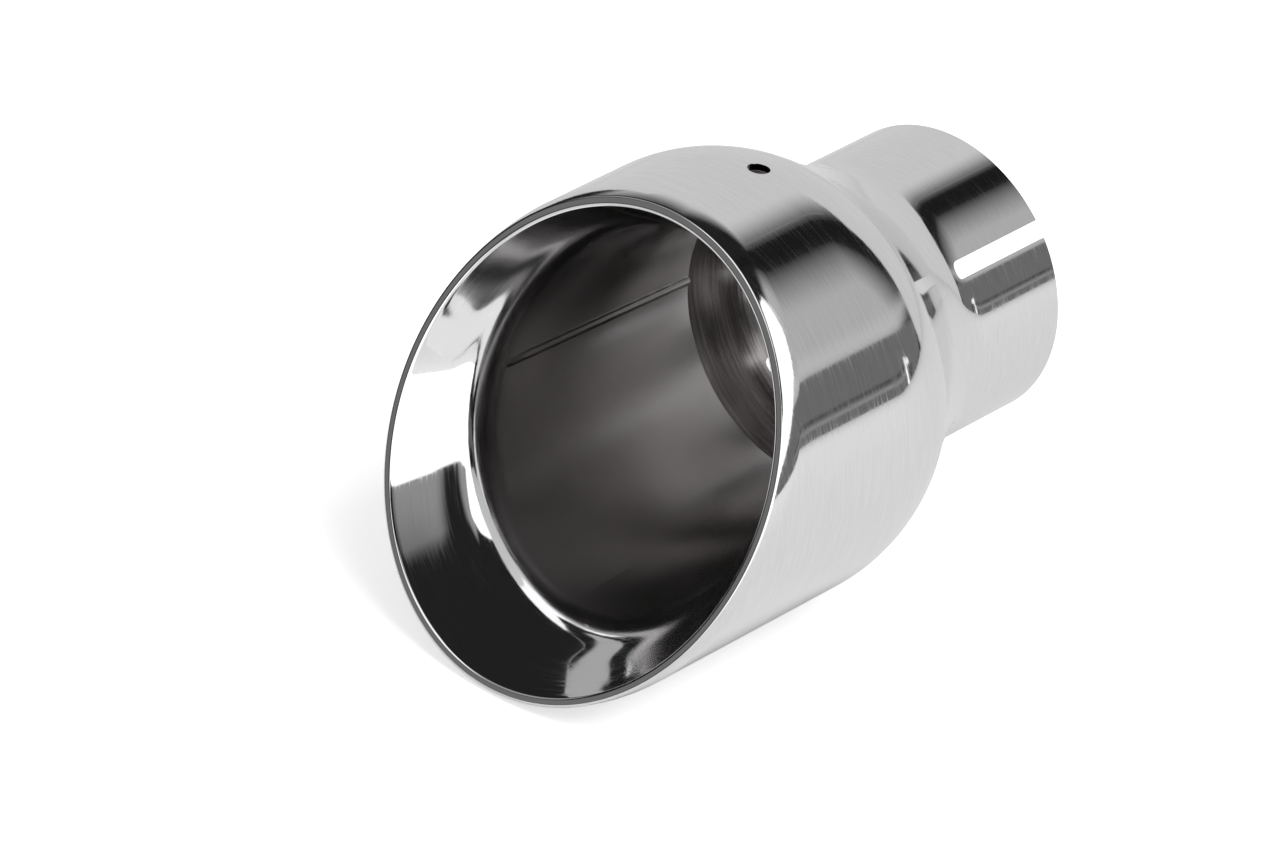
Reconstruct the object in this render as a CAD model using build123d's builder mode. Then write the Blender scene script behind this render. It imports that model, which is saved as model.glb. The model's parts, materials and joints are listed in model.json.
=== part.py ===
# A slash-cut, double-wall exhaust tip that slips over a tailpipe and is held by a band clamp.
# Millimetres, +Z up, the tube's axis on X, and the centre of the open inlet end at the origin.
# The outlet opens toward -X, with the short side of the slash on top.
import os
from math import cos, radians, sin, tan
from build123d import *

# Outlet and slash cut
outlet_diameter = 101.6
slash_angle = 25.5
axis_length = 120.5

# Sheet gauges
shell_wall = 1.5
liner_wall = 1.2

# Inlet collar, sized to slip over a 2.5 inch tailpipe
pipe_diameter = 63.5
pipe_clearance = 0.25

# Shoulder and neck, two arcs with a slightly hollow taper between them
# The angles are how steep the wall is where the taper begins and ends
barrel_length = 47.6
shoulder_radius = 38.1
shoulder_angle = 33.0
neck_angle = 22.0
neck_radius = 22.5

# Clamp slots, cut in from the open end, as angles down from the top
slot_width = 4.2
slot_length = 29.4
slot_corner = 1.6
slot_angles = (50, 138, 222, 310)

# Vent hole in the top of the shoulder, just behind the barrel, into the space between the walls
hole_diameter = 5.0
hole_setback = 3.6

# Rim, where the two walls are welded together and polished round
outer_round = 1.3
inner_round = 1.0
seat_clearance = 0.02

# Flared lip of the liner, at each depth behind the slash: how far its inner face stands in from
# the shell's, and its wall
# The face is slightly dished, and the wall is thickest at the rim's weld
lip_depths = (0.0, 3.6, 7.4, 11.0, 14.2, 17.5, 22.5)
lip_insets = (1.9, 3.4, 5.2, 7.1, 8.9, 10.0, 10.8)
lip_walls = (2.6, 1.6, 1.35, 1.35, 1.35, 1.25, 1.2)
lip_lead = 1.0

# Rear end of the liner, inside the neck: ahead of the collar, and a step wider than its bore
liner_end_setback = 19.6
liner_end_step = 2.5

# Long seam of the liner, a raised bead on its inner face, as an angle down from the top
seam_front_angle = 264.8
seam_rear_angle = 267.4
seam_radius = 1.0
seam_sink = 0.55
seam_front_station = 17.0
seam_end_gap = 0.6

# Sizes that follow from the ones above
outlet_radius = outlet_diameter / 2
bore_radius = pipe_diameter / 2 + pipe_clearance
collar_radius = bore_radius + shell_wall
slash_slope = tan(radians(slash_angle))
slash_stretch = 1 / cos(radians(slash_angle))
front_reach = outlet_radius * slash_slope
shoulder_turn = radians(shoulder_angle)
neck_turn = radians(neck_angle)
arcs_drop = shoulder_radius * (1 - cos(shoulder_turn)) + neck_radius * (1 - cos(neck_turn))
arcs_run = shoulder_radius * sin(shoulder_turn) + neck_radius * sin(neck_turn)
taper_drop = outlet_radius - collar_radius - arcs_drop
taper_radius = taper_drop / (cos(neck_turn) - cos(shoulder_turn))
taper_run = taper_radius * (sin(shoulder_turn) - sin(neck_turn))
neck_end = barrel_length + arcs_run + taper_run
hole_station = barrel_length + hole_setback
barrel_bore_radius = outlet_radius - shell_wall
lip_half_widths = [barrel_bore_radius - inset for inset in lip_insets]
lip_end_radius = lip_half_widths[-1]
lip_end_depth = lip_depths[-1]
seat_radius = barrel_bore_radius - seat_clearance
liner_end_radius = bore_radius + liner_end_step
liner_end_station = neck_end - liner_end_setback


def slash_plane(depth):
    """Plane parallel to the slash cut, set back along the axis by depth."""
    tilt = radians(slash_angle)
    return Plane(
        origin=(depth - axis_length, 0, 0),
        x_dir=(sin(tilt), 0, cos(tilt)),
        z_dir=(-cos(tilt), 0, sin(tilt)),
    )


def square_plane(station):
    """Plane square to the axis at a station behind the middle of the rim."""
    return Plane(origin=(station - axis_length, 0, 0), x_dir=(0, 0, 1), z_dir=(-1, 0, 0))


def seam_point(station, angle):
    """Centre of the seam's bead at a station, just outside the liner's inner face."""
    turn = radians(angle)
    bend = lip_end_depth + slash_slope * lip_end_radius * cos(turn)
    taper = (liner_end_radius - lip_end_radius) / (liner_end_station - bend)
    radius = lip_end_radius + taper * (station - bend) + seam_sink
    return Vector(station - axis_length, -radius * sin(turn), radius * cos(turn))


def lip_sections(walls):
    """Half-width and depth of each section of the lip, widened by walls, with a lead in front."""
    widths = [half_width + wall for half_width, wall in zip(lip_half_widths, walls)]
    lead_width = widths[0] + lip_lead * (widths[0] - widths[1]) / lip_depths[1]
    return [(lead_width, -lip_lead)] + list(zip(widths, lip_depths))


def tube_outline(inset):
    """Half outline of the necked tube, set in from its outer face by inset."""
    start = barrel_length - axis_length
    end = neck_end - axis_length
    barrel = outlet_radius - inset
    collar = collar_radius - inset
    shoulder = shoulder_radius - inset
    neck = neck_radius + inset
    taper = taper_radius + inset
    front = -axis_length - front_reach - shell_wall
    back = inset
    taper_start = (
        start + shoulder * sin(shoulder_turn),
        barrel - shoulder * (1 - cos(shoulder_turn)),
    )
    taper_end = (end - neck * sin(neck_turn), collar + neck * (1 - cos(neck_turn)))
    shoulder_mid = (
        start + shoulder * sin(shoulder_turn / 2),
        barrel - shoulder * (1 - cos(shoulder_turn / 2)),
    )
    taper_turn = (shoulder_turn + neck_turn) / 2
    taper_mid = (
        taper_start[0] + taper * (sin(shoulder_turn) - sin(taper_turn)),
        taper_start[1] + taper * (cos(shoulder_turn) - cos(taper_turn)),
    )
    neck_mid = (end - neck * sin(neck_turn / 2), collar + neck * (1 - cos(neck_turn / 2)))
    Polyline((start, barrel), (front, barrel), (front, 0), (back, 0), (back, collar), (end, collar))
    ThreePointArc((end, collar), neck_mid, taper_end)
    ThreePointArc(taper_end, taper_mid, taper_start)
    ThreePointArc(taper_start, shoulder_mid, (start, barrel))


# Space inside the shell, one wall in from its outer face
with BuildPart() as shell_core:
    with BuildSketch(Plane.XZ):
        with BuildLine():
            tube_outline(shell_wall)
        make_face()
    revolve(axis=Axis.X)

# Outer shell: barrel, shoulder, neck and slotted collar, formed from one tube
with BuildPart() as outer_shell:
    with BuildSketch(Plane.XZ):
        with BuildLine():
            tube_outline(0)
        make_face()
    revolve(axis=Axis.X)
    add(shell_core.part, mode=Mode.SUBTRACT)
    split(bisect_by=slash_plane(0), keep=Keep.BOTTOM)
    # Outer edge of the rim, polished round
    rim_face = outer_shell.faces().sort_by(Axis(slash_plane(0).origin, slash_plane(0).z_dir))[-1]
    fillet(rim_face.outer_wire().edges(), radius=outer_round)
    # Clamp slots, open at the rear and round at the front
    for angle in slot_angles:
        with BuildSketch(Plane.XY.rotated((angle, 0, 0))):
            RectangleRounded(slot_length * 2, slot_width, slot_corner)
        extrude(amount=outlet_radius, mode=Mode.SUBTRACT)
    # Vent hole
    with BuildSketch(Plane.XY):
        with Locations((hole_station - axis_length, 0)):
            Circle(hole_diameter / 2)
    extrude(amount=outlet_radius, mode=Mode.SUBTRACT)

# Space inside the liner's flared lip
with BuildPart() as lip_core:
    for half_width, depth in lip_sections((0,) * len(lip_depths)):
        with BuildSketch(slash_plane(depth)):
            Ellipse(half_width * slash_stretch, half_width)
    loft()

# Space inside the liner's tapering tube
with BuildPart() as tube_core:
    with BuildSketch(slash_plane(lip_end_depth)):
        Ellipse(lip_end_radius * slash_stretch, lip_end_radius)
    with BuildSketch(square_plane(liner_end_station)):
        Circle(liner_end_radius)
    loft(ruled=True)

# Inner liner: a seamed tube whose mouth is flared out to meet the shell
with BuildPart() as inner_liner:
    # Flare, trimmed to seat inside the shell and cut level with its slash
    for half_width, depth in lip_sections(lip_walls):
        with BuildSketch(slash_plane(depth)):
            Ellipse(half_width * slash_stretch, half_width)
    loft()
    with BuildSketch(square_plane(-front_reach)):
        Circle(seat_radius)
    extrude(amount=-axis_length, mode=Mode.INTERSECT)
    split(bisect_by=slash_plane(0), keep=Keep.BOTTOM)
    # Tapering tube behind the flare
    with BuildSketch(slash_plane(lip_end_depth)):
        width = lip_end_radius + liner_wall
        Ellipse(width * slash_stretch, width)
    with BuildSketch(square_plane(liner_end_station)):
        Circle(liner_end_radius + liner_wall)
    loft(ruled=True)
    add(lip_core.part, mode=Mode.SUBTRACT)
    add(tube_core.part, mode=Mode.SUBTRACT)
    # Inner edge of the rim, polished round
    mouth_face = inner_liner.faces().sort_by(Axis(slash_plane(0).origin, slash_plane(0).z_dir))[-1]
    fillet(mouth_face.inner_wires()[0].edges(), radius=inner_round)
    # Long weld seam, dressed off where the flare begins
    seam_start = seam_point(seam_front_station, seam_front_angle)
    seam_end = seam_point(liner_end_station - seam_end_gap, seam_rear_angle)
    with BuildSketch(Plane(origin=seam_start, z_dir=seam_end - seam_start)):
        Circle(seam_radius)
    extrude(amount=(seam_end - seam_start).length)

outer_shell.part.label = "outer_shell"
inner_liner.part.label = "inner_liner"
os.makedirs("parts", exist_ok=True)
export_step(outer_shell.part, "parts/outer_shell.step")
export_step(inner_liner.part, "parts/inner_liner.step")
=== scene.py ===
import json
from math import asin, cos, hypot, pi, radians, sin, sqrt, tan

import bmesh
import bpy
import numpy as np
from mathutils import Euler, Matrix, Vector

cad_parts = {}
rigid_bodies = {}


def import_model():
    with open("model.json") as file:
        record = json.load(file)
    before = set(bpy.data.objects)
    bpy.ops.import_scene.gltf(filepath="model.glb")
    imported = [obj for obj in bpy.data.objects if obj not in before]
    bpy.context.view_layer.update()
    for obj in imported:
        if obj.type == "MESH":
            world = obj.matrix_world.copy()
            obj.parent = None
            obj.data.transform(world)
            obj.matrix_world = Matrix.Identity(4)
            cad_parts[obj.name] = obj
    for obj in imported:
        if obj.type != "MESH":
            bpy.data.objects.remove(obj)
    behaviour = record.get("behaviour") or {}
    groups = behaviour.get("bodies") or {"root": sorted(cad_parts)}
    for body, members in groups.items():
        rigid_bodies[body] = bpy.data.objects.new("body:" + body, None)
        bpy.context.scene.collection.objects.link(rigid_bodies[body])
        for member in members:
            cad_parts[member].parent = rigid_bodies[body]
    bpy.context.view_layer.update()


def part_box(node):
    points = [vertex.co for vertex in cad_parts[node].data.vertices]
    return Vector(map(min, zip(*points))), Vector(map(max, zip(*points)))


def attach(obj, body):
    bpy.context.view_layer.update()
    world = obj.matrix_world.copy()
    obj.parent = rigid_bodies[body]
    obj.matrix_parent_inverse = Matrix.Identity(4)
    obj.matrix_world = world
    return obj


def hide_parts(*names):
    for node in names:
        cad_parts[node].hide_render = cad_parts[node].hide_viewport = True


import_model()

for old in list(bpy.context.scene.objects):
    if old.type in {"CAMERA", "LIGHT"}:
        bpy.data.objects.remove(old)

# Outer shell
# One length of stainless tube, 1.5 mm thick, spun down to a collar behind the barrel, cut on the
# slash, slotted at the inlet so that a band clamp can close it, and mirror polished on the outside.

mm = 0.001
low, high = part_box("outer_shell")
outlet_radius = (high[2] - low[2]) / 2
axis_length = 120.5 * mm
slash_angle = radians(25.5)
shell_wall = 1.5 * mm
collar_radius = 33.5 * mm
barrel_length = 47.6 * mm
shoulder_radius = 38.1 * mm
shoulder_angle = radians(33)
neck_angle = radians(22)
neck_radius = 22.5 * mm
slot_angles = (50, 138, 222, 310)
slot_width = 4.2 * mm
slot_length = 29.4 * mm
slot_corner = 1.6 * mm
hole_diameter = 5.0 * mm
hole_setback = 3.6 * mm
edge_break = 0.16 * mm

# The rim's outer round, the barrel rolled in toward it by the polishing wheel, and how far inside
# the round the shell meets the liner
outer_round = 0.6 * mm
roll_length = 4.8 * mm
roll_drop = 0.78 * mm
roll_power = 1.6
seat_step = 0.1 * mm

slash_slope = tan(slash_angle)
slash_normal = np.array((-cos(slash_angle), 0, sin(slash_angle)))
roll_lean = asin(roll_drop * roll_power / roll_length)
barrel_bore_radius = outlet_radius - shell_wall
collar_bore_radius = collar_radius - shell_wall
arcs_drop = shoulder_radius * (1 - cos(shoulder_angle)) + neck_radius * (1 - cos(neck_angle))
taper_drop = outlet_radius - collar_radius - arcs_drop
taper_radius = taper_drop / (cos(neck_angle) - cos(shoulder_angle))
taper_from = shoulder_radius * shoulder_angle
taper_to = taper_from + taper_radius * (shoulder_angle - neck_angle)
arcs_run = shoulder_radius * sin(shoulder_angle) + neck_radius * sin(neck_angle)
neck_end = barrel_length + arcs_run + taper_radius * (sin(shoulder_angle) - sin(neck_angle))
hole_station = barrel_length + hole_setback
slot_front = axis_length - slot_length
slot_shoulder = slot_front + slot_corner


class Blank:
    """A flat pattern: its points as station, angle and radius, and the faces between them."""

    def __init__(self):
        self.points = []
        self.faces = []

    def row(self, station, angle, radius):
        """Adds a row of points and returns their numbers."""
        station, angle, radius = np.broadcast_arrays(station, angle, radius)
        first = len(self.points)
        self.points += list(zip(station.tolist(), angle.tolist(), radius.tolist()))
        return list(range(first, len(self.points)))

    def skin(self, front, back, gaps=()):
        """Faces between two rows, closed round the tube, except the columns in gaps."""
        for column in range(len(front)):
            beside = (column + 1) % len(front)
            if column not in gaps:
                self.faces.append((front[column], front[beside], back[beside], back[column]))


def shares(cells):
    """How far along a stretch each of its rows lies, from 0 to 1."""
    return np.linspace(0, 1, cells + 1)


def polar(places):
    """Station, angle and radius of points given as station, Y and Z."""
    station, y, z = places
    return station, np.arctan2(-y, z), np.hypot(y, z)


def between(first, second, share):
    """Unit vectors part way round from first to second."""
    turn = np.arccos(np.clip((first * second).sum(axis=0), -1, 1))
    return (np.sin((1 - share) * turn) * first + np.sin(share * turn) * second) / np.sin(turn)


def outer_face(run):
    """Station, radius and lean of the outside, at a run back from the front of the shoulder."""
    lean = np.clip(run / shoulder_radius, 0, shoulder_angle)
    eased = lean - np.clip(run - taper_from, 0, taper_to - taper_from) / taper_radius
    turned = eased - np.maximum(run - taper_to, 0) / neck_radius
    station = barrel_length + np.minimum(run, 0) + shoulder_radius * np.sin(lean)
    station = station + taper_radius * (np.sin(lean) - np.sin(eased))
    station = station + neck_radius * (np.sin(eased) - np.sin(turned))
    radius = outlet_radius - shoulder_radius * (1 - np.cos(lean))
    radius = radius - taper_radius * (np.cos(eased) - np.cos(lean))
    radius = radius - neck_radius * (np.cos(turned) - np.cos(eased))
    return station, radius, turned


def inner_face(run):
    """Station and radius of the inside, one wall in from the outside."""
    station, radius, lean = outer_face(run)
    return station - shell_wall * np.sin(lean), radius - shell_wall * np.cos(lean)


def collar_face(station, depth):
    """Radius at the end of the neck and on the collar, at a depth under the outside."""
    short = np.maximum(neck_end - station, 0)
    return collar_radius + neck_radius - np.sqrt((neck_radius + depth) ** 2 - short**2)


def shoulder_face(station, depth):
    """Radius at the end of the barrel and on the shoulder, at a depth under the outside."""
    past = max(station - barrel_length, 0)
    return outlet_radius - shoulder_radius + sqrt((shoulder_radius - depth) ** 2 - past**2)


def rolled_in(back):
    """How far the polishing has rolled the barrel in toward the rim, at a run back from it."""
    return roll_drop * (1 - back / roll_length) ** roll_power


def rim_edge(angle):
    """The round of the rim's outer edge: its centre line, and the way it faces at the barrel."""
    reach = outlet_radius - roll_drop - outer_round * cos(roll_lean)
    side, up = -np.sin(angle), np.cos(angle)
    centre = (reach * up * sin(slash_angle) + outer_round) / cos(slash_angle)
    facing = (-sin(roll_lean) + 0 * angle, side * cos(roll_lean), up * cos(roll_lean))
    return np.array((centre, reach * side, reach * up)), np.array(facing)


def seat_edge(angle):
    """Where the rim's flat meets the liner, just inside the outer round."""
    middle, _ = rim_edge(angle)
    _, turned, radius = polar(middle + outer_round * slash_normal[:, None])
    radius = radius - seat_step
    return slash_slope * radius * np.cos(turned), turned, radius


# Columns round the tube, close together across each slot's rounded corners
# Each has its angle outside and inside, the station where it meets the line of the slots' fronts,
# and on a slot its number across it
column_step = radians(1.25)
column_count = round(2 * pi / column_step)
hole_cells = 12
first_column = -hole_cells / 2 * column_step
corner_cells = 5
corner_turns = np.radians(np.linspace(90, 0, corner_cells + 1))
corner_sides = slot_width / 2 - slot_corner + slot_corner * np.sin(corner_turns)
corner_backs = slot_corner * (1 - np.cos(corner_turns))
slot_sides = np.concatenate((-corner_sides, (0,), corner_sides[::-1]))
slot_backs = np.concatenate((corner_backs, (0,), corner_backs[::-1]))
keep_clear = slot_width / 2 / collar_radius + column_step / 2

columns = []
for step in range(column_count):
    angle = first_column + step * column_step
    if all(abs(angle - radians(middle)) > keep_clear for middle in slot_angles):
        columns.append((angle, angle, slot_shoulder, None))
for middle in slot_angles:
    for number, (side, back) in enumerate(zip(slot_sides, slot_backs)):
        outside = radians(middle) + asin(side / collar_radius)
        inside = radians(middle) + asin(side / collar_bore_radius)
        columns.append((outside, inside, slot_front + back, number))
columns.sort(key=lambda column: column[0])
outside = np.array([column[0] for column in columns])
inside = np.array([column[1] for column in columns])
slot_line = np.array([column[2] for column in columns])
slot_numbers = [column[3] for column in columns]
last_number = len(slot_sides) - 1
slot_cells = {at for at, number in enumerate(slot_numbers) if number not in (None, last_number)}
slot_lefts = [at for at, number in enumerate(slot_numbers) if number == 0]
slot_rights = [at for at, number in enumerate(slot_numbers) if number == last_number]

# Cells along each stretch of the shell, from the rim to the inlet, and then along the bore
round_cells = 8
roll_cells = 25
barrel_cells = 9
shoulder_cells = 15
taper_cells = 13
neck_cells = 2
slot_line_cells = 6
neck_slot_cells = 4
collar_cells = 10
bore_cells = 6

# How long a cell beside the hole is, and how far ahead of the slots the rows begin to bend
hole_step = 1.1 * mm
slot_line_lead = 2.0 * mm

# The outside, from the rim's flat, over its round and back along the barrel
shell = Blank()
seat_row = shell.row(*seat_edge(outside))
outer_rows = [seat_row]
middle, leaned = rim_edge(outside)
forward = np.repeat(slash_normal[:, None], len(outside), axis=1)
for share in shares(round_cells):
    outer_rows.append(shell.row(*polar(middle + outer_round * between(forward, leaned, share))))
hole_run = shoulder_radius * asin(hole_setback / shoulder_radius)
patch_runs = hole_run + (np.arange(hole_cells + 1) - hole_cells / 2) * hole_step
barrel_front = middle[0] - outer_round * sin(roll_lean)
barrel_back = outer_face(patch_runs[0])[0]
for back in np.linspace(0, roll_length, roll_cells + 1)[1:]:
    outer_rows.append(shell.row(barrel_front + back, outside, outlet_radius - rolled_in(back)))
for share in shares(barrel_cells)[1:-1]:
    station = barrel_front + roll_length + (barrel_back - barrel_front - roll_length) * share
    outer_rows.append(shell.row(station, outside, outlet_radius))

# The patch for the hole, the shoulder, the taper and the front of the neck
patch_first = len(outer_rows)
patch_last = patch_first + hole_cells
lead_start = slot_front - slot_line_lead
lead_turn = neck_angle - asin((neck_end - lead_start) / neck_radius)
shoulder_runs = np.linspace(patch_runs[-1], taper_from, shoulder_cells + 1)[1:]
taper_runs = np.linspace(taper_from, taper_to, taper_cells + 1)[1:]
neck_runs = np.linspace(taper_to, taper_to + neck_radius * lead_turn, neck_cells + 1)[1:]
runs = np.concatenate((patch_runs, shoulder_runs, taper_runs, neck_runs))
for run in runs:
    station, radius, _ = outer_face(run)
    outer_rows.append(shell.row(station, outside, radius))

# The rest of the neck, where the rows bend onto the line of the slots' fronts, and the collar
lead_row = len(outer_rows) - 1
collar_stations = [lead_start + (slot_line - lead_start) * share for share in shares(slot_line_cells)[1:]]
slot_row = lead_row + len(collar_stations)
collar_stations += list(np.linspace(slot_shoulder, neck_end, neck_slot_cells + 1)[1:])
collar_stations += list(np.linspace(neck_end, axis_length, collar_cells + 1)[1:])
for station in collar_stations:
    outer_rows.append(shell.row(station, outside, collar_face(station, 0)))
rear_row = len(outer_rows) - 1

# The inside, from the inlet forward to the rim's flat
# Behind the barrel its rows have the numbers of the rows outside them
inner_rows = {}
for number in range(rear_row, lead_row, -1):
    station = collar_stations[number - lead_row - 1]
    inner_rows[number] = shell.row(station, inside, collar_face(station, shell_wall))
for number, run in reversed(list(enumerate(runs, patch_first))):
    station, radius = inner_face(run)
    inner_rows[number] = shell.row(station, inside, radius)
bore_back = inner_face(patch_runs[0])[0]
bore_front = slash_slope * barrel_bore_radius * np.cos(inside)
bore_rows = [inner_rows[patch_first]]
for share in shares(bore_cells)[1:-1]:
    station = bore_back + (bore_front - bore_back) * share
    bore_rows.append(shell.row(station, inside, barrel_bore_radius))
bore_rows.append(seat_row)

# The vent hole's edge is met by rings of faces, each part way from the patch's edge to the round
hole_gap = set(range(hole_cells))
drill_shares = (0.35, 0.62, 0.83, 1.0)


def edge_of_patch(rows_of, front, back):
    """The points round the edge of the patch for the hole, in order."""
    way = 1 if back > front else -1
    edge = [rows_of[front][at] for at in range(hole_cells)]
    edge += [rows_of[at][hole_cells] for at in range(front, back, way)]
    edge += [rows_of[back][at] for at in range(hole_cells, 0, -1)]
    edge += [rows_of[at][0] for at in range(back, front, -way)]
    return edge


def round_aims(edge):
    """Points of the hole's round that face each point of the patch's edge."""
    aims = []
    for number in edge:
        station, angle, radius = shell.points[number]
        away = station - hole_station
        side = -radius * sin(angle)
        scale = hole_diameter / 2 / hypot(away, side)
        aims.append((hole_station + away * scale, side * scale))
    return aims


def drill(edge, aims, depth):
    """Closes the patch at a depth under the outside onto the hole's round, and returns the round."""
    starts = []
    for number in edge:
        station, angle, radius = shell.points[number]
        starts.append((station, -radius * sin(angle)))
    ring = edge
    for share in drill_shares:
        places = []
        for (station, side), (aim_station, aim_side) in zip(starts, aims):
            at = station + (aim_station - station) * share
            across = side + (aim_side - side) * share
            radius = shoulder_face(at, depth)
            places.append((at, asin(-across / radius), radius))
        smaller = shell.row(*np.array(places).T)
        shell.skin(ring, smaller)
        ring = smaller
    return ring


def other_way_round(ring):
    """A ring's points in the order in which the ring on the other face passes them."""
    return [ring[(3 * hole_cells - at) % len(ring)] for at in range(len(ring))]


def cut_face(first, second):
    """Closes the wall's thickness between two points of a cut, each as its row and column."""
    (row, column), (next_row, next_column) = first, second
    outer_edge = (outer_rows[row][column], outer_rows[next_row][next_column])
    inner_edge = (inner_rows[next_row][next_column], inner_rows[row][column])
    shell.faces.append(outer_edge + inner_edge)


for number in range(rear_row):
    gaps = slot_cells if number >= slot_row else ()
    if patch_first <= number < patch_last:
        gaps = hole_gap
    shell.skin(outer_rows[number], outer_rows[number + 1], gaps)
outer_edge = edge_of_patch(outer_rows, patch_first, patch_last)
outer_aims = round_aims(outer_edge)
outer_ring = drill(outer_edge, outer_aims, 0)
polished_faces = len(shell.faces)

shell.skin(outer_rows[rear_row], inner_rows[rear_row], slot_cells)
for number in range(rear_row, patch_first, -1):
    gaps = slot_cells if number > slot_row else ()
    if patch_first < number <= patch_last:
        gaps = hole_gap
    shell.skin(inner_rows[number], inner_rows[number - 1], gaps)
for front, back in zip(bore_rows, bore_rows[1:]):
    shell.skin(front, back)
inner_edge = edge_of_patch(inner_rows, patch_last, patch_first)
inner_ring = drill(inner_edge, other_way_round(outer_aims), shell_wall)
shell.skin(outer_ring, other_way_round(inner_ring))
for column in slot_lefts:
    for number in range(slot_row, rear_row):
        cut_face((number + 1, column), (number, column))
for column in slot_rights:
    for number in range(slot_row, rear_row):
        cut_face((number, column), (number + 1, column))
for column in slot_cells:
    cut_face((slot_row, column), (slot_row, column + 1))


class Wire:
    """One output of a node. Python's operators on it add Math nodes to its tree."""

    def __init__(self, tree, output=None):
        self.tree = tree
        self.output = output

    def node(self, kind, inputs=(), output=0, **settings):
        """Adds a node: its settings first, then the values or links of its sockets."""
        made = self.tree.nodes.new(kind)
        for name, value in settings.items():
            setattr(made, name, value)
        for key, value in dict(inputs).items():
            if isinstance(value, Wire):
                self.tree.links.new(value.output, made.inputs[key])
            else:
                made.inputs[key].default_value = value
        return Wire(self.tree, made.outputs[output] if made.outputs else None)

    def maths(self, operation, *values):
        return self.node("ShaderNodeMath", dict(enumerate(values)), operation=operation)

    def other(self, output):
        """Another output of the same node."""
        return Wire(self.tree, self.output.node.outputs[output])

    def __add__(self, value):
        return self.maths("ADD", self, value)

    def __sub__(self, value):
        return self.maths("SUBTRACT", self, value)

    def __rsub__(self, value):
        return self.maths("SUBTRACT", value, self)

    def __mul__(self, value):
        return self.maths("MULTIPLY", self, value)

    __radd__ = __add__
    __rmul__ = __mul__


def empty_tree(owner):
    """Empties the nodes of a material or a world, and returns a wire to build new ones with."""
    owner.use_nodes = True
    owner.node_tree.nodes.clear()
    return Wire(owner.node_tree)


def round_the_axis(wire):
    """Where a point of the steel lies: its object X, and its turn and distance round the axis."""
    place = wire.node("ShaderNodeTexCoord", output="Object")
    parts = wire.node("ShaderNodeSeparateXYZ", {0: place})
    y, z = parts.other("Y"), parts.other("Z")
    turn = wire.maths("ARCTAN2", y, z)
    reach = wire.maths("SQRT", y * y + z * z)
    return parts, turn, reach


def grain(wire, along, turn, reach, scale, detail, roughness):
    """Noise on the steel, drawn out round the axis by a small share of the turn."""
    place = wire.node("ShaderNodeCombineXYZ", {0: along, 1: turn, 2: reach})
    sockets = {"Vector": place, "Scale": scale, "Detail": detail, "Roughness": roughness}
    return wire.node("ShaderNodeTexNoise", sockets)


def shaded(wire, colour, shade):
    """A colour times a shade that varies."""
    grey = wire.node("ShaderNodeCombineColor", {0: shade, 1: shade, 2: shade})
    return wire.node(
        "ShaderNodeMix",
        {0: 1.0, 6: colour, 7: grey},
        output=2,
        data_type="RGBA",
        blend_type="MULTIPLY",
    )


def bare_metal(wire, colour, roughness, relief):
    """Ends a material's nodes with bare metal."""
    shader = wire.node(
        "ShaderNodeBsdfPrincipled",
        {"Base Color": colour, "Metallic": 1.0, "Roughness": roughness, "Normal": relief},
    )
    wire.node("ShaderNodeOutputMaterial", {"Surface": shader})


# Polished steel, with the fine lines that the last polishing wheel leaves round the tube
steel_colour = (0.81, 0.81, 0.815, 1.0)
steel_shade, line_shade = 0.83, 0.3
mirror_roughness, scratch_roughness = 0.045, 0.55
scratch_from = 0.46
wheel_draw = 0.0016
wheel_relief = 0.01 * mm
fine_share = 0.6

polished = bpy.data.materials.new("polished_steel")
wire = empty_tree(polished)
along, turn, reach = round_the_axis(wire)
lines = grain(wire, along, turn * wheel_draw, reach, scale=3400.0, detail=3.0, roughness=0.65)
broad = grain(wire, along, turn * wheel_draw, reach, scale=600.0, detail=2.0, roughness=0.5)
height = lines * fine_share + broad * (1 - fine_share)
relief = wire.node("ShaderNodeBump", {"Height": height, "Strength": 0.3, "Distance": wheel_relief})
scratch = wire.maths("MAXIMUM", lines - scratch_from, 0.0)
colour = shaded(wire, steel_colour, steel_shade + lines * line_shade)
bare_metal(wire, colour, mirror_roughness + scratch * scratch_roughness, relief)

# Mill finish on the side that nobody polishes, dull and marked by the spinning tool
mill_colour = (0.42, 0.40, 0.395, 1.0)
mill_shade, ring_shade = 0.3, 1.3
mill_roughness, ring_roughness = 0.12, 0.16
tool_draw = 0.0015
tool_relief = 0.05 * mm

mill = bpy.data.materials.new("mill_steel")
wire = empty_tree(mill)
along, turn, reach = round_the_axis(wire)
rings = grain(wire, along, turn * tool_draw, reach, scale=1400.0, detail=3.0, roughness=0.6)
relief = wire.node("ShaderNodeBump", {"Height": rings, "Strength": 0.4, "Distance": tool_relief})
colour = shaded(wire, mill_colour, mill_shade + rings * ring_shade)
bare_metal(wire, colour, mill_roughness + rings * ring_roughness, relief)

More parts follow.
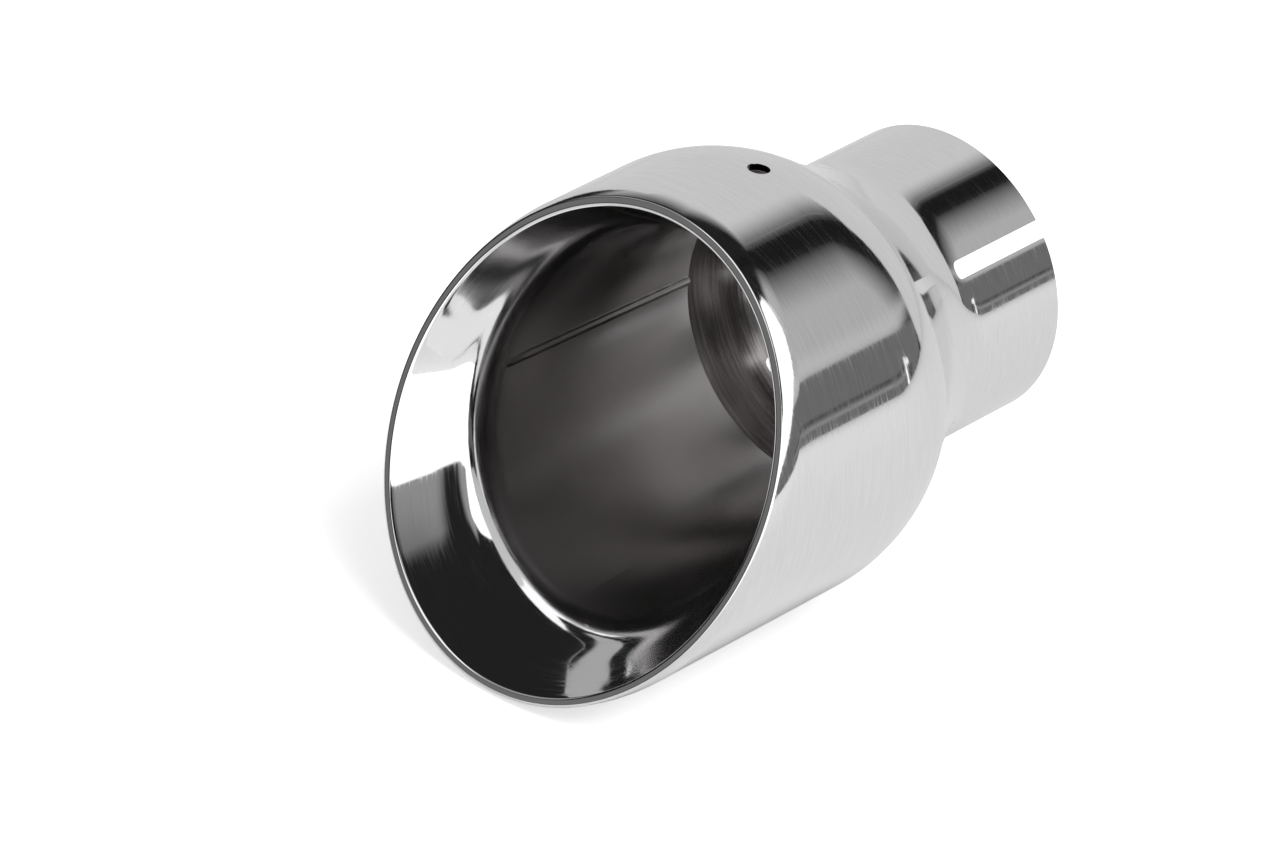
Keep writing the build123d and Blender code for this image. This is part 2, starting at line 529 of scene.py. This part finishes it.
# Rolls a flat pattern into its tube: X is the station, Y the angle and Z the radius
rolling = bpy.data.node_groups.new("roll_into_tube", "GeometryNodeTree")
rolling.interface.new_socket("Pattern", in_out="INPUT", socket_type="NodeSocketGeometry")
length_input = rolling.interface.new_socket("Axis Length", in_out="INPUT", socket_type="NodeSocketFloat")
finish_input = rolling.interface.new_socket("Finish", in_out="INPUT", socket_type="NodeSocketMaterial")
mill_input = rolling.interface.new_socket("Mill Finish", in_out="INPUT", socket_type="NodeSocketMaterial")
rolling.interface.new_socket("Tube", in_out="OUTPUT", socket_type="NodeSocketGeometry")
wire = Wire(rolling)
given = wire.node("NodeGroupInput", output="Pattern")
flat = wire.node("ShaderNodeSeparateXYZ", {0: wire.node("GeometryNodeInputPosition")})
angle, radius = flat.other("Y"), flat.other("Z")
rolled = wire.node(
    "ShaderNodeCombineXYZ",
    {
        0: flat - given.other("Axis Length"),
        1: radius * wire.maths("SINE", angle) * -1.0,
        2: radius * wire.maths("COSINE", angle),
    },
)
tube = wire.node("GeometryNodeSetPosition", {"Geometry": given, "Position": rolled})
smooth = wire.node("GeometryNodeSetShadeSmooth", {"Geometry": tube})
whole = wire.node("GeometryNodeRealizeInstances", {"Geometry": smooth})
finished = wire.node(
    "GeometryNodeSetMaterial", {"Geometry": whole, "Material": given.other("Finish")}
)
is_mill = wire.node("GeometryNodeInputNamedAttribute", {"Name": "mill_side"}, data_type="BOOLEAN")
both_sides = wire.node(
    "GeometryNodeSetMaterial",
    {"Geometry": finished, "Selection": is_mill, "Material": given.other("Mill Finish")},
)
wire.node("NodeGroupOutput", {0: both_sides})


def roll_up(name, blank, finish, finished_faces):
    """Makes the pattern an object, rolls it, and leaves the tube as a plain mesh.

    The first faces of the pattern have the finish, and the rest are as the mill left them.
    """
    pattern = bpy.data.meshes.new(name)
    pattern.from_pydata(blank.points, [], blank.faces)
    mark = pattern.attributes.new("mill_side", "BOOLEAN", "FACE")
    mark.data.foreach_set("value", [at >= finished_faces for at in range(len(blank.faces))])
    piece = bpy.data.objects.new(name, pattern)
    bpy.context.scene.collection.objects.link(piece)
    roller = piece.modifiers.new("roll", "NODES")
    roller.node_group = rolling
    roller[length_input.identifier] = axis_length
    roller[finish_input.identifier] = finish
    roller[mill_input.identifier] = mill
    ready = piece.evaluated_get(bpy.context.evaluated_depsgraph_get())
    piece.data = bpy.data.meshes.new_from_object(ready)
    piece.modifiers.clear()
    piece.data.name = name
    return piece


merge_distance = 0.001 * mm
sharp_angle = radians(50)


def break_edges(piece):
    """Merges doubled points, and rounds the sharp edges, apart from the welded ones at the rim."""
    mesh = bmesh.new()
    mesh.from_mesh(piece.data)
    bmesh.ops.remove_doubles(mesh, verts=mesh.verts, dist=merge_distance)
    weight = mesh.edges.layers.float.new("bevel_weight_edge")
    rim = Vector(slash_normal)
    for edge in mesh.edges:
        middle = (edge.verts[0].co + edge.verts[1].co) / 2 + Vector((axis_length, 0, 0))
        sharp = len(edge.link_faces) == 2 and edge.calc_face_angle() > sharp_angle
        rounded = sharp and middle.dot(rim) < -outer_round
        edge[weight] = 1.0 if rounded else 0.0
        edge.smooth = rounded or not sharp
    mesh.to_mesh(piece.data)
    mesh.free()
    bevel = piece.modifiers.new("edge_break", "BEVEL")
    bevel.limit_method = "WEIGHT"
    bevel.width = edge_break
    bevel.segments = 3
    bevel.harden_normals = True


outer = roll_up("polished_outer_shell", shell, polished, polished_faces)
break_edges(outer)
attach(outer, "root")
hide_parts("outer_shell")

# Inner liner
# A thinner tube, rolled and seam welded, whose mouth is flared out to the shell. It is pushed in
# from the front, welded to the shell round the rim, and the weld and the flare are polished.

liner_wall = 1.2 * mm
inner_round = 0.9 * mm
lip_depths = np.array((0.0, 3.6, 7.4, 11.0, 14.2, 17.5, 22.5)) * mm
lip_insets = np.array((1.25, 3.15, 5.15, 7.1, 8.9, 10.0, 10.8)) * mm
lip_walls = np.array((2.1, 1.5, 1.35, 1.35, 1.35, 1.25, 1.2)) * mm
liner_end_setback = 19.6 * mm
liner_end_step = 2.5 * mm
seam_front_angle = radians(264.8)
seam_rear_angle = radians(267.4)
seam_front_station = 13.5 * mm
seam_rise_length = 2.0 * mm
seam_half_width = 1.0 * mm
seam_height = 0.65 * mm

lip_radii = barrel_bore_radius - lip_insets
lip_end_radius, lip_end_depth = lip_radii[-1], lip_depths[-1]
liner_end_radius = collar_bore_radius + liner_end_step
liner_end_station = neck_end - liner_end_setback


def smooth_curve(at, known, values):
    """A cubic spline through the known values, and its slope."""
    gap = np.diff(known)
    rise = np.diff(values) / gap
    size = len(known)
    system = np.eye(size)
    right = np.zeros(size)
    for row in range(1, size - 1):
        system[row, row - 1 : row + 2] = gap[row - 1], 2 * (gap[row - 1] + gap[row]), gap[row]
        right[row] = 6 * (rise[row] - rise[row - 1])
    bend = np.linalg.solve(system, right)
    cell = np.clip(np.searchsorted(known, at) - 1, 0, size - 2)
    run, left = gap[cell], at - known[cell]
    start = rise[cell] - run * (2 * bend[cell] + bend[cell + 1]) / 6
    curl = (bend[cell + 1] - bend[cell]) / (6 * run)
    value = values[cell] + left * (start + left * (bend[cell] / 2 + left * curl))
    return value, start + left * (bend[cell] + 3 * left * curl)


def lip_point(depth, angle):
    """Point of the flare's face, and the way it faces, at a depth behind the slash."""
    radius, slope = smooth_curve(depth, lip_depths, lip_radii)
    y, z = -np.sin(angle), np.cos(angle)
    point = np.array((depth + slash_slope * radius * z, radius * y, radius * z))
    back = np.array((1 + slash_slope * slope * z, slope * y, slope * z))
    round_way = np.array((slash_slope * radius * y, -radius * z, radius * y))
    facing = np.cross(round_way, back, axis=0)
    facing = facing / np.linalg.norm(facing, axis=0)
    inwards = -(facing[1] * y + facing[2] * z)
    return point, facing * np.sign(inwards)


def tube_point(share, angle, thickness):
    """Point of the tube behind the flare, part way from the flare to the liner's square end."""
    radius = (lip_end_radius * (1 - share) + liner_end_radius * share) + thickness
    front = lip_end_depth + slash_slope * (lip_end_radius + thickness) * np.cos(angle)
    return front * (1 - share) + liner_end_station * share, angle, radius


# Columns round the liner, close together on the strip that has the seam
strip_from, strip_to = radians(261.25), radians(271.25)
strip_cells = 40
plain_columns = first_column + np.arange(column_count) * column_step
from_strip = np.abs(plain_columns - (strip_from + strip_to) / 2)
beside_strip = from_strip > (strip_to - strip_from - column_step) / 2
strip_columns = np.linspace(strip_from, strip_to, strip_cells + 1)[1:-1]
liner_columns = np.sort(np.concatenate((plain_columns[beside_strip], strip_columns)))

# Cells along each stretch of the liner, from the mouth to its end, and then back outside it
mouth_cells = 14
flare_cells = 32
tube_cells = 28
back_cells = 8

# How deep the rim's inner round reaches into the flare, by a few steps towards it
settling_steps = 4
round_depth = np.zeros_like(liner_columns)
for _ in range(settling_steps):
    _, facing = lip_point(round_depth, liner_columns)
    lean = (facing * slash_normal[:, None]).sum(axis=0)
    round_depth = inner_round * (1 - lean) / cos(slash_angle)

# The face that shows: the rim's flat, its inner round, the flare, and the tube with its seam
liner = Blank()
mouth_row = liner.row(*seat_edge(liner_columns))
liner_rows = [mouth_row]
lip_edge, facing = lip_point(round_depth, liner_columns)
round_middle = lip_edge - inner_round * facing
forward = np.repeat(slash_normal[:, None], len(liner_columns), axis=1)
for share in shares(mouth_cells):
    place = round_middle + inner_round * between(forward, facing, share)
    liner_rows.append(liner.row(*polar(place)))
for share in shares(flare_cells)[1:]:
    depth = round_depth + (lip_end_depth - round_depth) * share
    liner_rows.append(liner.row(*polar(lip_point(depth, liner_columns)[0])))
for share in shares(tube_cells)[1:]:
    station, angle, radius = tube_point(share, liner_columns, 0)
    behind = station - seam_front_station
    rise = np.clip(behind / seam_rise_length, 0, 1)
    along_seam = np.clip(behind / (liner_end_station - seam_front_station), 0, 1)
    seam_angle = seam_front_angle + (seam_rear_angle - seam_front_angle) * along_seam
    away = (angle - seam_angle) * radius / seam_half_width
    bead = seam_height * np.sqrt(np.clip(1 - away**2, 0, 1)) * rise
    liner_rows.append(liner.row(station, angle, radius - bead))
end_row = len(liner_rows) - 1

# The side toward the shell, forward again to the rim
for share in reversed(shares(back_cells)):
    liner_rows.append(liner.row(*tube_point(share, liner_columns, liner_wall)))
for depth, wall in list(zip(lip_depths, lip_walls))[-2:0:-1]:
    radius = smooth_curve(depth, lip_depths, lip_radii)[0] + wall
    station = depth + slash_slope * radius * np.cos(liner_columns)
    liner_rows.append(liner.row(station, liner_columns, radius))
liner_rows.append(mouth_row)
for front, back in zip(liner_rows, liner_rows[1:]):
    liner.skin(front, back)
shown_faces = end_row * len(liner_columns)

# Satin steel with faint stains in the tube, polished on the flare as the outside is
# The fine lines show on the flare, and fade out where the satin begins
liner_colour = (0.50, 0.485, 0.485, 1.0)
liner_shade, stain_shade, grain_shade = 0.5, 0.9, 0.08
satin_roughness, stain_roughness = 0.13, 0.1
flare_scratch_roughness = 0.3
polish_ends, satin_begins = 19.0 * mm, 21.5 * mm
line_draw = 0.001
line_relief = 0.01 * mm
line_fade = 0.85
stain_draw = 0.02
stain_length = 0.6

satin = bpy.data.materials.new("satin_liner_steel")
wire = empty_tree(satin)
along, turn, reach = round_the_axis(wire)
depth_behind = along + axis_length - along.other("Z") * slash_slope
dulled = wire.node(
    "ShaderNodeMapRange",
    {"Value": depth_behind, "From Min": polish_ends, "From Max": satin_begins},
)
lines = grain(wire, depth_behind, turn * line_draw, reach, scale=3000.0, detail=3.0, roughness=0.6)
stain_along, stain_turn = along * stain_length, turn * stain_draw
stains = grain(wire, stain_along, stain_turn, reach, scale=60.0, detail=1.0, roughness=0.4)
stained = shaded(wire, liner_colour, liner_shade + stains * stain_shade + lines * grain_shade)
base = wire.node(
    "ShaderNodeMix",
    {0: dulled, 6: steel_colour, 7: stained},
    output=2,
    data_type="RGBA",
)
height = lines * (1 - dulled * line_fade)
relief = wire.node("ShaderNodeBump", {"Height": height, "Strength": 0.05, "Distance": line_relief})
scratch = wire.maths("MAXIMUM", lines - scratch_from, 0.0)
on_flare = mirror_roughness + scratch * (1 - dulled) * flare_scratch_roughness
in_tube = dulled * (stains * stain_roughness + satin_roughness)
bare_metal(wire, base, on_flare + in_tube, relief)

inner = roll_up("flared_inner_liner", liner, satin, shown_faces)
break_edges(inner)
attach(inner, "root")
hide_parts("inner_liner")

# Studio
# A white floor and soft light from all round, as in a packshot. The camera stands where the
# photograph was taken, a long way off with a long lens.

camera_place = (-1.52257, -1.10871, 1.06353)
camera_turn = (59.290, -5.209, -48.966)
camera_lens = 275.74
floor_from, floor_to = (-0.65, -1.2), (1.2, 0.35)
floor_shade = 0.72
floor_glow = 0.6
fill_shade = 0.45
key_aim = (262, 57)
key_distance = 1.6
key_size = 1.0
key_power = 22.0

camera = bpy.data.objects.new("camera", bpy.data.cameras.new("camera"))
camera.location = camera_place
camera.rotation_euler = Euler([radians(part) for part in camera_turn])
camera.data.lens = camera_lens
camera.data.sensor_width = 36.0
camera.data.clip_end = 50.0
bpy.context.scene.collection.objects.link(camera)
bpy.context.scene.camera = camera

# The floor glows a little for the camera alone, so that it is white and the steel doesn't pick it up
floor_mesh = bpy.data.meshes.new("floor")
floor_corners = (floor_from, (floor_to[0], floor_from[1]), floor_to, (floor_from[0], floor_to[1]))
floor_mesh.from_pydata([(x, y, -outlet_radius) for x, y in floor_corners], [], [(0, 1, 2, 3)])
floor = bpy.data.objects.new("floor", floor_mesh)
bpy.context.scene.collection.objects.link(floor)
floor_white = bpy.data.materials.new("floor_white")
wire = empty_tree(floor_white)
seen = wire.node("ShaderNodeLightPath", output="Is Camera Ray") * floor_glow
paper = wire.node(
    "ShaderNodeBsdfPrincipled",
    {
        "Base Color": (floor_shade, floor_shade, floor_shade, 1.0),
        "Roughness": 1.0,
        "Specular IOR Level": 0.0,
        "Emission Color": wire.node("ShaderNodeCombineColor", {0: seen, 1: seen, 2: seen}),
        "Emission Strength": 1.0,
    },
)
wire.node("ShaderNodeOutputMaterial", {"Surface": paper})
floor_mesh.materials.append(floor_white)

# What the polished metal mirrors: a dark ceiling, a wall that grows lighter between two azimuths
# in its own patch, and patches over them, each with how bright it is, how soft its edges are and
# its corners as azimuth and elevation in degrees
ceiling_shade = 0.016
wall_shade = 0.50
wall_dark_azimuth, wall_light_azimuth = radians(-9), radians(-30)
wall_softness = 0.05
wall_corners = ((-2, 60), (6, 24), (-12, 5), (-75, 20), (-75, 50))
studio_patches = (
    (0.55, 0.03, ((150, 62), (130, 76), (170, 81), (216, 74), (229, 63), (212, 54))),
    (0.34, 0.05, ((92, 26), (95, 44), (138, 60), (146, 26))),
    (0.17, 0.05, ((139, 4), (139, 18), (155, 18), (155, 4))),
    (1.15, 0.02, ((136, 58), (143, 29), (150, 27), (185, 30), (183, 64), (172, 69))),
    (0.68, 0.006, ((-20, -20), (-16, 3), (-5, 17), (4, 26), (55, 30), (58, -20))),
    (0.68, 0.14, ((13, 20), (14, 50), (48, 48), (60, 20))),
    (0.22, 0.004, ((8.2, 34), (8.6, 48), (9.6, 48), (9.2, 34))),
    (0.012, 0.008, ((-5, 88), (-6, 30), (-4, 18), (4, 26), (5, 48), (5, 88))),
    (0.58, 0.06, ((-12, 8), (-15, 3.5), (-43, 18.5), (-75, 24), (-75, 33), (-44, 26))),
    (0.17, 0.012, ((-15, 3.5), (-20, -2), (-75, -4), (-75, 24), (-43, 18.5))),
    (0.30, 0.004, ((-38, 1.0), (-38, 2.4), (-60, 2.4), (-60, 1.0))),
    (0.09, 0.004, ((-38, 3.2), (-38, 4.6), (-60, 4.6), (-60, 3.2))),
    (1.6, 0.003, ((-39.4, -3.5), (-38.2, -3.5), (-36.6, 5.5), (-37.6, 6.5))),
    (1.3, 0.003, ((-37, 3.4), (-34.2, 2.2), (-34, 4.2), (-36.6, 5.4))),
    (0.04, 0.004, ((-36, -2), (-33, -2.5), (-32, 1.5), (-34.6, 2))),
    (0.32, 0.03, ((257.5, 38), (257, 62), (264, 72), (273, 66), (273, 38))),
    (1.5, 0.01, ((269, 36), (267, 61), (281, 68), (330, 62), (312, 45), (308, 28))),
    (1.5, 0.01, ((258, -8), (258, 38), (309, 38), (278, -8))),
    (1.5, 0.01, ((210, -8), (210, 38), (260, 38), (260, -8))),
    (1.5, 0.01, ((180, -8), (182, 34), (212, 38), (212, -8))),
)

world = bpy.data.worlds.new("studio")
bpy.context.scene.world = world
wire = empty_tree(world)
way = wire.node("ShaderNodeTexCoord", output="Generated")


def aim(azimuth, elevation):
    """The unit vector at an azimuth and an elevation."""
    level = cos(radians(elevation))
    return Vector(
        (level * cos(radians(azimuth)), level * sin(radians(azimuth)), sin(radians(elevation)))
    )


def patch(corners, softness):
    """1 inside the patch of sky that the corners enclose, and 0 outside it."""
    aims = [aim(*corner) for corner in corners]
    centre = sum(aims, Vector())
    inside_by = None
    for first, second in zip(aims, aims[1:] + aims[:1]):
        across = first.cross(second).normalized()
        if across.dot(centre) < 0:
            across.negate()
        past = wire.node("ShaderNodeVectorMath", {0: way, 1: across}, "Value", operation="DOT_PRODUCT")
        inside_by = past if inside_by is None else wire.maths("MINIMUM", inside_by, past)
    return wire.node(
        "ShaderNodeMapRange",
        {"Value": inside_by, "From Min": -softness, "From Max": softness},
        interpolation_type="SMOOTHSTEP",
    )


direction = wire.node("ShaderNodeSeparateXYZ", {0: way})
wall_rise = wire.node(
    "ShaderNodeMapRange",
    {
        "Value": wire.maths("ARCTAN2", direction.other("Y"), direction),
        "From Min": wall_dark_azimuth,
        "From Max": wall_light_azimuth,
        "To Max": wall_shade - ceiling_shade,
    },
)
glow = wall_rise * patch(wall_corners, wall_softness) + ceiling_shade
for shade, softness, corners in studio_patches:
    mask = patch(corners, softness)
    glow = glow * (1 - mask) + mask * shade

# The patches are for mirrored rays alone: the camera sees white, and the fill light is even
ray = wire.node("ShaderNodeLightPath", output="Is Camera Ray")
mirrored = wire.maths("MAXIMUM", ray.other("Is Glossy Ray"), ray.other("Is Transmission Ray"))
strength = glow * mirrored + (1 - mirrored) * (ray * (1 - fill_shade) + fill_shade)
sky = wire.node("ShaderNodeBackground", {"Color": (1.0, 1.0, 1.0, 1.0), "Strength": strength})
wire.node("ShaderNodeOutputWorld", {"Surface": sky})

# A large soft lamp, high up on the -Y side, which casts the shadow and isn't mirrored
key = bpy.data.objects.new("key_light", bpy.data.lights.new("key_light", "AREA"))
key.data.shape = "RECTANGLE"
key.data.size = key_size
key.data.size_y = key_size
key.data.energy = key_power
key.location = aim(*key_aim) * key_distance
key.rotation_euler = aim(*key_aim).to_track_quat("Z", "Y").to_euler()
key.visible_glossy = False
bpy.context.scene.collection.objects.link(key)

bpy.context.scene.view_settings.view_transform = "Standard"
